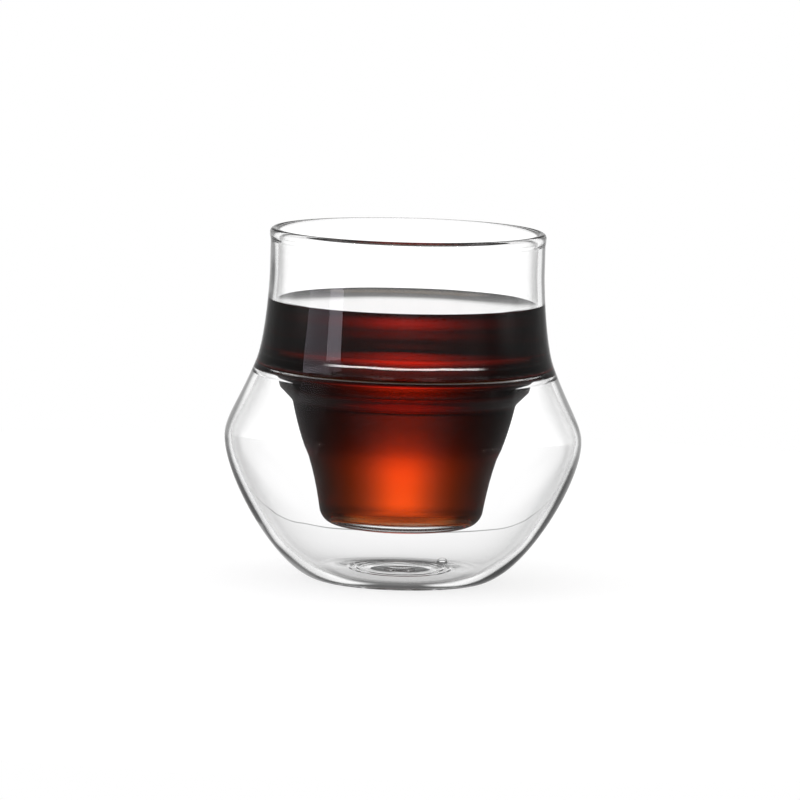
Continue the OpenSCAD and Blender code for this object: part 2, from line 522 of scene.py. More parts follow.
    def punt(self) -> Path:
        """Draws the hollow under the base.

        Returns:
            The path, from the ring that the cup stands on to the axis.
        """
        s = self.sizes
        ring = s.foot_radius - s.foot_ring_width
        ring_handle = (ring * (1 - s.punt_ring_share), 0.0)
        crown_handle = (ring * s.punt_crown_share, s.punt_depth)
        return curve((ring, 0.0), ring_handle, crown_handle, (0.0, s.punt_depth), s.curve_steps)


def add_node(
    tree: bpy.types.NodeTree, kind: str, settings: dict | None = None, inputs: dict | None = None
) -> bpy.types.Node:
    """Adds a node with its settings and links.

    Args:
        tree: Tree that the node goes into.
        kind: Identifier of the node's type.
        settings: Values of the node's own properties, by name.
        inputs: For each input, by name or number, a value, or the socket or node that feeds it.

    Returns:
        The new node.
    """
    node = tree.nodes.new(kind)
    for name, value in (settings or {}).items():
        setattr(node, name, value)
    for key, value in (inputs or {}).items():
        if isinstance(value, bpy.types.Node):
            value = value.outputs[0]
        if isinstance(value, bpy.types.NodeSocket):
            tree.links.new(value, node.inputs[key])
        else:
            node.inputs[key].default_value = value
    return node


def linear(hex_colour: str) -> tuple[float, float, float, float]:
    """Turns an sRGB hex colour into a linear one.

    Args:
        hex_colour: Six hex digits, such as 8FA3B0.

    Returns:
        Linear red, green, blue and alpha.
    """
    channels = [int(hex_colour[i : i + 2], 16) / 255 for i in (0, 2, 4)]
    lit = [c / 12.92 if c <= 0.04045 else ((c + 0.055) / 1.055) ** 2.4 for c in channels]
    return (lit[0], lit[1], lit[2], 1.0)


WHITE = linear("FFFFFF")
MATH = "ShaderNodeMath"
ADD = {"operation": "ADD"}
TIMES = {"operation": "MULTIPLY"}
TIMES_AND_ADD = {"operation": "MULTIPLY_ADD"}
DIVIDE = {"operation": "DIVIDE"}
GREATEST = {"operation": "MAXIMUM"}
UNSIGNED = {"operation": "ABSOLUTE"}
DEGREES = {"operation": "DEGREES"}
LENGTH = {"operation": "LENGTH"}


@dataclass(frozen=True)
class Change:
    """A soft change along a value: where it begins, where it is whole, and the tone it brings."""

    start: float
    finish: float
    tone: float = 1.0


SWITCH = Change(0.0, 1.0)
# A ray that has passed six surfaces has been through the coffee
THROUGH_COFFEE = Change(5.0, 6.0)


def changed(
    tree: bpy.types.NodeTree,
    tone: float | Source,
    value: Source,
    change: Change,
    brought: float | Source | None = None,
) -> bpy.types.Node:
    """Adds the nodes of a soft change.

    Args:
        tree: Tree that the nodes go into.
        tone: Tone before the change, or what feeds it.
        value: What feeds the value that the change runs along.
        change: Where the change lies, and the tone it brings.
        brought: What feeds the tone that it brings, in place of its own.

    Returns:
        Node that gives the tone.
    """
    ends = {"Value": value, "From Min": change.start, "From Max": change.finish}
    share = add_node(tree, "ShaderNodeMapRange", {"interpolation_type": "SMOOTHSTEP"}, ends)
    tones = {0: share, 2: tone, 3: change.tone if brought is None else brought}
    return add_node(tree, "ShaderNodeMix", {"data_type": "FLOAT"}, tones)


def angle_from_axes(tree: bpy.types.NodeTree, way: Source) -> bpy.types.Node:
    """Adds the nodes that tell how far a direction's heading lies from the nearest level axis.

    Args:
        tree: Tree that the nodes go into.
        way: What feeds the direction.

    Returns:
        Node that gives the angle in degrees, from 0 to 45.
    """
    parts = add_node(tree, "ShaderNodeSeparateXYZ", inputs={0: way}).outputs
    x = add_node(tree, MATH, UNSIGNED, {0: parts["X"]})
    y = add_node(tree, MATH, UNSIGNED, {0: parts["Y"]})
    least = add_node(tree, MATH, {"operation": "MINIMUM"}, {0: x, 1: y})
    most = add_node(tree, MATH, GREATEST, {0: x, 1: y})
    angle = add_node(tree, MATH, {"operation": "ARCTAN2"}, {0: least, 1: most})
    return add_node(tree, MATH, DEGREES, {0: angle})


@dataclass(frozen=True)
class SoftLight:
    """A light that falls off away from its middle: the angle in degrees at which half of it is left,
    and how steeply it falls."""

    half: float
    power: float

    def add(self, tree: bpy.types.NodeTree, angle: Source) -> bpy.types.Node:
        """Adds the light's nodes.

        Args:
            tree: Tree that the nodes go into.
            angle: What feeds the angle from the middle in degrees.

        Returns:
            Node that gives the share of the light that is left.
        """
        ratio = add_node(tree, MATH, DIVIDE, {0: angle, 1: self.half})
        raised = add_node(tree, MATH, {"operation": "POWER"}, {0: ratio, 1: self.power})
        more = add_node(tree, MATH, ADD, {0: raised, 1: 1.0})
        return add_node(tree, MATH, DIVIDE, {0: 1.0, 1: more})


# The middle of each side of the backdrop, which makes the coffee glow
GLOW_STRIP = SoftLight(8.3, 2.5)


def new_material(name: str) -> bpy.types.Material:
    """Makes a material with an empty node tree.

    Args:
        name: Name of the material.

    Returns:
        The material.
    """
    material = bpy.data.materials.new(name)
    material.use_nodes = True
    material.node_tree.nodes.clear()
    return material


@dataclass(frozen=True)
class BlownGlassFinish:
    """Borosilicate glass, blown and fire polished: clear and colourless, with the slow waviness
    that blowing leaves, which bends the highlights a little."""

    name: str = "borosilicate glass"
    colour: str = "FEFEFE"
    ior: float = GLASS_IOR
    shine: float = 0.4
    wave_mm: float = 24.0
    wave_strength: float = 0.2

    def build(self) -> bpy.types.Material:
        """Builds the material.

        Returns:
            The material.
        """
        material = new_material(self.name)
        tree = material.node_tree
        place = add_node(tree, "ShaderNodeTexCoord").outputs["Object"]
        noise_inputs = {"Vector": place, "Scale": 1 / (self.wave_mm * MM), "Detail": 1.0}
        height = add_node(tree, "ShaderNodeTexNoise", inputs=noise_inputs).outputs["Fac"]
        bump_inputs = {"Strength": self.wave_strength, "Distance": MM, "Height": height}
        inputs = {
            "Base Color": linear(self.colour),
            "Roughness": 0.0,
            "IOR": self.ior,
            "Specular Tint": (self.shine, self.shine, self.shine, 1.0),
            "Transmission Weight": 1.0,
            "Normal": add_node(tree, "ShaderNodeBump", inputs=bump_inputs),
        }
        glass = add_node(tree, "ShaderNodeBsdfPrincipled", inputs=inputs)
        add_node(tree, "ShaderNodeOutputMaterial", inputs={"Surface": glass})
        return material


@dataclass(frozen=True)
class FusedJointFinish:
    """Face inside the glass where two pieces were melted into one, so that nothing shows there."""

    name: str = "fused glass joint"

    def build(self) -> bpy.types.Material:
        """Builds the material.

        Returns:
            The material.
        """
        material = new_material(self.name)
        clear = add_node(material.node_tree, "ShaderNodeBsdfTransparent")
        add_node(material.node_tree, "ShaderNodeOutputMaterial", inputs={"Surface": clear})
        return material


@dataclass(frozen=True)
class CoffeeFinish:
    """Brewed coffee: near black at the flanks and through the full cup, dark red where less of it
    is looked through. Its tint by height is painted light and shade: bright and dark bands where the
    glass bends the light, and a painted glow that makes the narrow foot of the bowl orange."""

    name: str = "brewed coffee"
    ior: float = COFFEE_IOR
    coat_ior: float = 1.4
    red_per_mm: float = 0.001
    green_per_mm: float = 0.073
    blue_per_mm: float = 0.165
    density_margin: float = 1.02
    open_clearness: float = 0.05
    # Heights in millimetres, each with how clear the coffee is there: painted light and shade, dark where
    # the glass turns, bright bands between, and a painted glow low in the bowl
    painted_light_by_height: tuple[Point, ...] = (
        (14.0, 0.9), (15.6, 0.35), (17.2, 0.8), (25.0, 0.8), (27.0, 0.74), (29.0, 0.58), (31.4, 0.34),
        (34.0, 0.19), (37.0, 0.11), (39.5, 0.1), (40.5, 0.045), (42.3, 0.02), (43.5, 0.03),
        (44.3, 0.12), (45.3, 0.4), (45.9, 1.0), (46.6, 1.0), (47.1, 0.3), (48.0, 0.05), (50.2, 0.05),
        (51.1, 0.8), (51.7, 1.0), (52.3, 1.0), (52.8, 0.05), (53.8, 0.04), (54.7, 0.07),
        (57.0, 0.001), (59.2, 0.014), (60.2, 0.6), (61.5, 0.8), (62.4, 0.08), (64.0, 0.08),
    )

    def build(self) -> bpy.types.Material:
        """Builds the material.

        Returns:
            The material.
        """
        material = new_material(self.name)
        tree = material.node_tree
        skin = add_node(tree, "ShaderNodeAttribute", {"attribute_name": "skin"}).outputs["Fac"]
        # Skins are whole numbers, and open air is the lowest
        is_open = add_node(tree, MATH, {"operation": "LESS_THAN"}, {0: skin, 1: 0.5})
        # The sides lie against the wetted glass, which bends the light there, so only the top bends it
        ior = add_node(tree, MATH, TIMES_AND_ADD, {0: is_open, 1: self.ior - 1.0, 2: 1.0})
        inputs = {
            # Painted light and shade: the coffee's tint goes lighter or darker by height
            "Base Color": self.painted_light_colour(tree, is_open),
            "Roughness": 0.0,
            "IOR": self.ior,
            "Transmission Weight": 1.0,
            "Coat Weight": is_open,
            "Coat Roughness": 0.0,
            "Coat IOR": self.coat_ior,
        }
        surface = add_node(tree, "ShaderNodeBsdfPrincipled", inputs=inputs)
        tree.links.new(ior.outputs[0], surface.inputs["IOR"])
        # A volume takes its density times one minus its colour out of the light on each metre
        density = self.blue_per_mm / MM * self.density_margin
        taken = (self.red_per_mm, self.green_per_mm, self.blue_per_mm)
        left = [1 - per_mm / MM / density for per_mm in taken]
        colour = {"Color": (*left, 1.0), "Density": density}
        volume = add_node(tree, "ShaderNodeVolumeAbsorption", inputs=colour)
        add_node(tree, "ShaderNodeOutputMaterial", inputs={"Surface": surface, "Volume": volume})
        return material

    def painted_light_colour(self, tree: bpy.types.NodeTree, is_open: Source) -> bpy.types.Node:
        """Adds the nodes of the painted light and shade that make the coffee lighter or darker by height.

        Args:
            tree: Tree that the nodes go into.
            is_open: What is 1 on the open surface and 0 on the sides.

        Returns:
            Node that gives the colour.
        """
        place = add_node(tree, "ShaderNodeTexCoord").outputs["Object"]
        height = add_node(tree, "ShaderNodeSeparateXYZ", inputs={0: place}).outputs["Z"]
        low, high = self.painted_light_by_height[0][0], self.painted_light_by_height[-1][0]
        ends = {"Value": height, "From Min": low * MM, "From Max": high * MM}
        share = add_node(tree, "ShaderNodeMapRange", inputs=ends)
        ramp = add_node(tree, "ShaderNodeValToRGB", inputs={0: share})
        marks = ramp.color_ramp.elements
        marks[0].position, marks[1].position = 0.0, 1.0
        for stop, _ in self.painted_light_by_height[1:-1]:
            marks.new((stop - low) / (high - low))
        for mark, (_, tone) in zip(marks, self.painted_light_by_height):
            mark.color = (tone, tone, tone, 1.0)
        shown = changed(tree, ramp, is_open, SWITCH, self.open_clearness)
        return add_node(tree, "ShaderNodeCombineColor", inputs={0: shown, 1: shown, 2: shown})


def keep_used_materials(mesh: bpy.types.Mesh) -> None:
    """Removes a mesh's empty material slots and those that no face has.

    Args:
        mesh: The mesh.
    """
    numbers = [face.material_index for face in mesh.polygons]
    used = sorted(set(numbers))
    kept = [mesh.materials[number] for number in used]
    mesh.materials.clear()
    for material in kept:
        mesh.materials.append(material)
    mesh.polygons.foreach_set("material_index", [used.index(number) for number in numbers])


class TurningTree:
    """Geometry Nodes tree that turns an outline about the upright axis into a closed skin."""

    def __init__(self) -> None:
        """Builds the tree."""
        self.tree = bpy.data.node_groups.new("turned outline", "GeometryNodeTree")
        self.inputs: dict[str, str] = {}
        self._declare()
        self._build()

    def _declare(self) -> None:
        interface = self.tree.interface
        interface.new_socket("Outline", in_out="INPUT", socket_type="NodeSocketGeometry")
        kinds = {"Segments": "NodeSocketInt"}
        kinds.update({skin.name: "NodeSocketMaterial" for skin in Skin})
        for name, kind in kinds.items():
            item = interface.new_socket(name, in_out="INPUT", socket_type=kind)
            self.inputs[name] = item.identifier
        interface.new_socket("Skin", in_out="OUTPUT", socket_type="NodeSocketGeometry")

    def _build(self) -> None:
        """Adds the nodes."""
        tree = self.tree
        whole_numbers = "FunctionNodeIntegerMath"
        rest = {"operation": "MODULO"}
        as_number = {"data_type": "INT"}
        given = add_node(tree, "NodeGroupInput").outputs
        outline = given["Outline"]
        size = add_node(tree, "GeometryNodeAttributeDomainSize", {"component": "MESH"}, {0: outline})
        count = size.outputs["Point Count"]
        columns = add_node(tree, whole_numbers, ADD, {0: given["Segments"], 1: 1})
        grid = add_node(tree, "GeometryNodeMeshGrid", inputs={"Vertices X": columns, "Vertices Y": count})
        index = add_node(tree, "GeometryNodeInputIndex")
        column = add_node(tree, whole_numbers, {"operation": "DIVIDE_FLOOR"}, {0: index, 1: count})
        row = add_node(tree, whole_numbers, rest, {0: index, 1: count})
        fewer = add_node(tree, whole_numbers, ADD, {0: count, 1: -1})
        face_row = add_node(tree, whole_numbers, rest, {0: index, 1: fewer})
        skin = add_node(tree, "GeometryNodeInputNamedAttribute", as_number, {"Name": "skin"})
        sample_inputs = {0: outline, 1: skin, 2: face_row}
        sampled = add_node(tree, "GeometryNodeSampleIndex", as_number, sample_inputs)
        store_settings = {"data_type": "INT", "domain": "FACE"}
        store_inputs = {0: grid, 2: "skin", 3: sampled}
        stored = add_node(tree, "GeometryNodeStoreNamedAttribute", store_settings, store_inputs)
        place = add_node(tree, "GeometryNodeInputPosition")
        point_inputs = {0: outline, 1: place, 2: row}
        point = add_node(tree, "GeometryNodeSampleIndex", {"data_type": "FLOAT_VECTOR"}, point_inputs)
        share = add_node(tree, MATH, DIVIDE, {0: column, 1: given["Segments"]})
        angle = add_node(tree, MATH, TIMES, {0: share, 1: 2 * math.pi})
        about = {"rotation_type": "Z_AXIS"}
        turned = add_node(tree, "ShaderNodeVectorRotate", about, {"Vector": point, "Angle": angle})
        placed = add_node(tree, "GeometryNodeSetPosition", inputs={0: stored, 2: turned})
        merged_inputs = {"Geometry": placed, "Distance": MERGE_DISTANCE}
        merged = add_node(tree, "GeometryNodeMergeByDistance", inputs=merged_inputs)
        smooth = add_node(tree, "GeometryNodeSetShadeSmooth", inputs={0: merged})
        shape = add_node(tree, "GeometryNodeRealizeInstances", inputs={0: smooth})
        same = {"data_type": "INT", "operation": "EQUAL"}
        for kind in Skin:
            dress_inputs = {0: shape, 2: given[kind.name]}
            if kind != Skin.OPEN_AIR:
                dress_inputs[1] = add_node(tree, "FunctionNodeCompare", same, {2: skin, 3: int(kind)})
            shape = add_node(tree, "GeometryNodeSetMaterial", inputs=dress_inputs)
        add_node(tree, "NodeGroupOutput", inputs={0: shape})

    def turn(
        self,
        name: str,
        path: Path,
        skins: list[Skin],
        materials: dict[Skin, bpy.types.Material],
        segments: int,
    ) -> bpy.types.Object:
        """Turns an outline into an object.

        Args:
            name: Name of the object.
            path: Outline in millimetres, with the glass on its left as it runs.
            skins: What each stretch between two points is a boundary of.
            materials: Material of each kind of skin.
            segments: Number of steps round the axis.

        Returns:
            The object, with a plain mesh.
        """
        outline = bpy.data.meshes.new(name + " outline")
        points = [(radius * MM, 0.0, height * MM) for radius, height in path]
        outline.from_pydata(points, [(i, i + 1) for i in range(len(points) - 1)], [])
        attribute = outline.attributes.new("skin", "INT", "POINT")
        attribute.data.foreach_set("value", [int(skin) for skin in skins] + [int(skins[-1])])
        piece = bpy.data.objects.new(name, outline)
        bpy.context.scene.collection.objects.link(piece)
        modifier = piece.modifiers.new("turned outline", "NODES")
        modifier.node_group = self.tree
        modifier[self.inputs["Segments"]] = segments
        for skin, material in materials.items():
            modifier[self.inputs[skin.name]] = material
        graph = bpy.context.evaluated_depsgraph_get()
        mesh = bpy.data.meshes.new_from_object(piece.evaluated_get(graph))
        piece.modifiers.clear()
        piece.data = mesh
        mesh.name = name
        keep_used_materials(mesh)
        mesh.set_sharp_from_angle(angle=math.radians(SHARP_ANGLE))
        bpy.data.meshes.remove(outline)
        return piece


@dataclass
class TurnedPiece:
    """A piece of the cup that is turned from an outline."""

    outline: CupOutline
    name: str = ""
    node: str = ""
    slot: str = ""
    segments: int = 256

    def profile(self) -> tuple[Path, list[Skin]]:
        """Returns the outline, with the piece on its left, and what each stretch is a boundary of."""
        raise NotImplementedError

    def axis(self) -> Vector:
        """Returns where the piece's own axis stands."""
        return Vector()

    def build(self, tree: TurningTree, materials: dict[Skin, bpy.types.Material]) -> None:
        """Builds and dresses the piece, puts it in the place of its solid and reports it.

        Args:
            tree: Tree that turns an outline.
            materials: Material of each kind of skin.
        """
        path, skins = self.profile()
        piece = tree.turn(self.name, path, skins, materials, self.segments)
        piece.data.transform(Matrix.Translation(self.axis()))
        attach(piece, BODY)
        if self.node:
            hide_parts(self.node)
        LOG.info("%s: %d faces", piece.name, len(piece.data.polygons))


@dataclass
class InnerGlass(TurnedPiece):
    """The blown glass that holds the coffee: rim, collar, ledge, neck, step and bowl."""

    name: str = "inner_glass_blown"
    node: str = "inner_glass"
    slot: str = "blown_glass"
    wet_height: float = 0.0

    def profile(self) -> tuple[Path, list[Skin]]:
        """Draws the glass, wetted up to the coffee's edge.

        Returns:
            The outline with the piece on its left as it runs, and what each stretch is a boundary of.
        """
        outline = self.outline
        inside = outline.inside()
        wet = under(inside, self.wet_height)
        dry = [outline.wet_edge(self.wet_height)] + over(inside, self.wet_height)
        outside = outline.outside_of_inner_glass()
        seam_index = outside.index(outline.seam)
        skins = [Skin.WETTED] * len(wet) + [Skin.OPEN_AIR] * (len(dry) + seam_index) + [Skin.FUSED]
        skins += [Skin.SEALED] * (len(outside) - 2 - seam_index)
        return (wet + dry + outside)[::-1], skins[::-1]


@dataclass
class OuterShell(TurnedPiece):
    """The blown outer shell: shoulder, belly and thick base."""

    name: str = "outer_shell_blown"
    node: str = "outer_shell"
    slot: str = "blown_glass"

    def profile(self) -> tuple[Path, list[Skin]]:
        """Draws the shell, fused along its top edge.

        Returns:
            The outline with the piece on its left as it runs, and what each stretch is a boundary of.
        """
        outline = self.outline
        shoulder = under(outline.shoulder, outline.weld_foot)
        base = under(outline.base, outline.sizes.belly_height)
        outside = [(outline.shell_top, outline.weld_foot)] + shoulder + base + outline.punt()
        inside = outline.inside_of_shell()
        skins = [Skin.OPEN_AIR] * (len(inside) + len(outside) - 1)
        skins[len(inside) - 1] = Skin.FUSED
        return (inside + outside)[::-1], skins[::-1]


@dataclass
class ShoulderWeld(TurnedPiece):
    """The ring of melted glass that joins the shell to the collar."""

    name: str = "shoulder_weld_fused"
    node: str = "shoulder_weld"
    slot: str = "fused_glass"

    def profile(self) -> tuple[Path, list[Skin]]:
        """Draws the ring, fused to the collar and to the shell.

        Returns:
            The outline with the piece on its left as it runs, and what each stretch is a boundary of.
        """
        outline = self.outline
        crown = outline.crown(0.0, 90.0)
        top = [(outline.crown_radius, outline.sizes.seam_height)]
        outside = over(outline.shoulder, outline.weld_foot)
        foot = [(outline.shell_top, outline.weld_foot)]
        path = crown + top + outside + foot + crown[:1]
        skins = [Skin.OPEN_AIR] * (len(path) - 1)
        for i in (len(crown) - 1, len(crown), -1):
            skins[i] = Skin.FUSED
        return path[::-1], skins[::-1]


@dataclass
class VentSeal(TurnedPiece):
    """The drop of glass that closed the hole through which the gap's air was drawn."""

    name: str = "vent_seal_bead"
    node: str = "vent_seal"
    slot: str = "fused_glass"
    segments: int = 48
    offset: float = 14.0
    angle: float = 46.0
    bead_radius: float = 1.3
    bead_height: float = 1.3
    lift: float = 0.02
    dome_steps: int = 12

    def profile(self) -> tuple[Path, list[Skin]]:
        """Draws the drop, which has air all round.

        Returns:
            The outline with the piece on its left as it runs, and what each stretch is a boundary of.
        """
        floor = (0.0, self.outline.sizes.base_height + self.lift)
        dome = arc(floor, self.bead_radius, self.bead_height, 0.0, 90.0, self.dome_steps)
        return [floor] + dome, [Skin.OPEN_AIR] * len(dome)

    def axis(self) -> Vector:
        """Returns where the drop's axis stands, behind the middle on the right."""
        turn = math.radians(self.angle)
        return Vector((self.offset * MM * math.cos(turn), self.offset * MM * math.sin(turn), 0.0))


@dataclass
class BrewedCoffee(TurnedPiece):
    """The coffee in the cup. It is no part of the glass, but it gives the cup its colour."""

    name: str = "coffee"
    slot: str = "brewed_coffee"
    level: float = 61.6
    climb: float = 1.5
    climb_power: float = 7.0
    clearance: float = 0.02
    top_steps: int = 60
    top_crowding: float = 1.6

    @property
    def wet_height(self) -> float:
        """Height in millimetres that the coffee reaches on the wall."""
        return self.level + self.climb

    def profile(self) -> tuple[Path, list[Skin]]:
        """Draws the coffee, wetted along the glass and open on top.

        Returns:
            The outline with the piece on its left as it runs, and what each stretch is a boundary of.
        """
        wall = under(self.outline.inside(), self.wet_height) + [self.outline.wet_edge(self.wet_height)]
        side = moved_inwards(wall[::-1], [(0.0, self.clearance)])[::-1]
        side[0] = (0.0, wall[0][1] + self.clearance)
        reach = side[-1][0]
        top = []
        for i in range(self.top_steps + 1):
            share = 1 - (i / self.top_steps) ** self.top_crowding
            top.append((reach * share, self.level + self.climb * share**self.climb_power))
        skins = [Skin.WETTED] * (len(side) - 1) + [Skin.OPEN_AIR] * self.top_steps
        return side[:-1] + top, skins


@dataclass
class TableTop:
    """The white table top, and the sheet of paper on it that the cup stands on, with a painted contact
    shadow round the cup's foot that only the glass shows. The sizes are in metres from the middle."""

    radius: float = 0.28
    sides: int = 96
    sink: float = 2e-5
    white: float = 0.8
    shade: float = 0.25
    strip_start: Change = Change(0.03, 0.06)
    paper: float = 0.75
    # A painted contact shadow: a darker ring round the cup's foot, in front only
    painted_contact_shadow: Change = Change(0.0150, 0.0160, 0.4)
    past_painted_shadow: Change = Change(0.0205, 0.0220, 0.75)
    painted_shadow_in_front: Change = Change(0.002, -0.010)
    paper_edge: Change = Change(0.0590, 0.0594, 0.15)
    past_paper: Change = Change(0.0602, 0.0608, 0.8)

    def build(self) -> None:
        """Lays the table top under the cup."""
        turns = [2 * math.pi * i / self.sides for i in range(self.sides)]
        ring = [(self.radius * math.cos(turn), self.radius * math.sin(turn), -self.sink) for turn in turns]
        mesh = bpy.data.meshes.new("floor")
        mesh.from_pydata(ring, [], [tuple(range(self.sides))])
        mesh.materials.append(self.material())
        floor = bpy.data.objects.new("floor", mesh)
        bpy.context.scene.collection.objects.link(floor)

    def material(self) -> bpy.types.Material:
        """Builds white card, which glows where it is looked at, so that it stays white, and takes shade.

        Returns:
            The material.
        """
        material = new_material("white table top")
        tree = material.node_tree
        rays = add_node(tree, "ShaderNodeLightPath").outputs
        shade = changed(tree, self.shade, rays["Transmission Depth"], THROUGH_COFFEE, 0.0)
        grey = add_node(tree, "ShaderNodeCombineColor", inputs={0: shade, 1: shade, 2: shade})
        soft = add_node(tree, "ShaderNodeBsdfDiffuse", inputs={"Color": grey})
        glow_inputs = {"Color": WHITE, "Strength": self.brightness(tree, rays)}
        glow = add_node(tree, "ShaderNodeEmission", inputs=glow_inputs)
        both = add_node(tree, "ShaderNodeAddShader", inputs={0: soft, 1: glow})
        plain_inputs = {"Color": (self.white, self.white, self.white, 1.0)}
        plain = add_node(tree, "ShaderNodeBsdfDiffuse", inputs=plain_inputs)
        seen = add_node(tree, MATH, GREATEST, {0: rays["Is Camera Ray"], 1: rays["Is Transmission Ray"]})
        card = add_node(tree, "ShaderNodeMixShader", inputs={0: seen, 1: plain, 2: both})
        # The glass mirrors the room in place of the table
        bounced = changed(tree, 0.0, rays["Glossy Depth"], SWITCH)
        clear = add_node(tree, "ShaderNodeBsdfTransparent")
        mix = add_node(tree, "ShaderNodeMixShader", inputs={0: bounced, 1: card, 2: clear})
        add_node(tree, "ShaderNodeOutputMaterial", inputs={"Surface": mix})
        return material

    def brightness(self, tree: bpy.types.NodeTree, rays: bpy.types.NodeOutputs) -> bpy.types.Node:
        """Adds the nodes of the table top's own glow.

        Args:
            tree: Tree that the nodes go into.
            rays: Outputs that tell what a ray has met.

        Returns:
            Node that gives the brightness.
        """
        place = add_node(tree, "ShaderNodeTexCoord").outputs["Object"]
        reach = add_node(tree, "ShaderNodeVectorMath", LENGTH, {0: place}).outputs["Value"]
        strip = GLOW_STRIP.add(tree, angle_from_axes(tree, place))
        strip = add_node(tree, MATH, TIMES, {0: strip, 1: self.white})
        strip = changed(tree, self.white, reach, self.strip_start, strip)
        parts = add_node(tree, "ShaderNodeSeparateXYZ", inputs={0: place}).outputs
        across = add_node(tree, MATH, UNSIGNED, {0: parts["X"]})
        back = add_node(tree, MATH, UNSIGNED, {0: parts["Y"]})
        square = add_node(tree, MATH, GREATEST, {0: across, 1: back})
        # Painted contact shadow: a darker ring round the foot, in front of the cup only, seen through the
        # glass
        ring = changed(tree, self.paper, reach, self.painted_contact_shadow)
        ring = changed(tree, ring, reach, self.past_painted_shadow)
        tone = changed(tree, self.paper, parts["Y"], self.painted_shadow_in_front, ring)
        tone = changed(tree, tone, square, self.paper_edge)
        tone = changed(tree, tone, square, self.past_paper)
        through = changed(tree, self.white, rays["Is Transmission Ray"], SWITCH, tone)
        return changed(tree, through, rays["Transmission Depth"], THROUGH_COFFEE, strip)


@dataclass(frozen=True)
class RoomTones:
    """Tones of the room that the glass shows and mirrors. Changes run along degrees, along the upright
    or backward share of a direction, or along the number of surfaces that a ray has passed."""

    # Through the glass: a sheet on each of four sides, dim corners, the table and the ceiling
    corner: float = 0.06
    sheet: Change = Change(27.0, 12.0, 1.25)
    table: Change = Change(-0.10, -0.22, 1.25)
    ceiling: Change = Change(0.3, 0.6, 0.6)
    strip: float = 1.25
    # On the outer skin: the backdrop close by, whose middle hangs under level, and a dim room beyond
    under_level: float = 6.5
    backdrop: SoftLight = SoftLight(11.0, 3.0)
    backdrop_tone: float = 0.8
    beyond: float = 0.17
    in_front: Change = Change(-0.2, -0.6, 0.45)
    # A long bar of light high in front
    bar_bend: float = 0.487
    least_spread: float = 0.1
    bar: Change = Change(0.022, 0.008, 45.0)
    bar_in_front: Change = Change(-0.3, -0.6)
    # Inside a wall: a dark line along its edge, then a light one
    low: float = 0.06
    low_to_level: Change = Change(-20.0, -5.0, 0.4)
    line: float = 0.12
    beside_line: Change = Change(6.0, 11.0, 1.15)
    past_middle: Change = Change(18.0, 26.0)
    edge: Change = Change(36.0, 46.0, 0.2)
    steep: Change = Change(46.0, 60.0, 0.12)
    # On the bowl and on the coffee: the sheet, grey over it, and a haze from the table in front
    dark: float = 0.12
    to_sheet: Change = Change(-2.0, 5.0)
    over_sheet: Change = Change(7.0, 15.0, 0.4)
    haze: Change = Change(-16.0, -23.0, 0.4)
    haze_foot: Change = Change(-55.0, -42.0)
    haze_in_front: Change = Change(-0.2, -0.7)
    # Which of these a ray shows
    in_wall: Change = Change(0.0, 1.0)
    past_wall: Change = Change(2.0, 3.0)


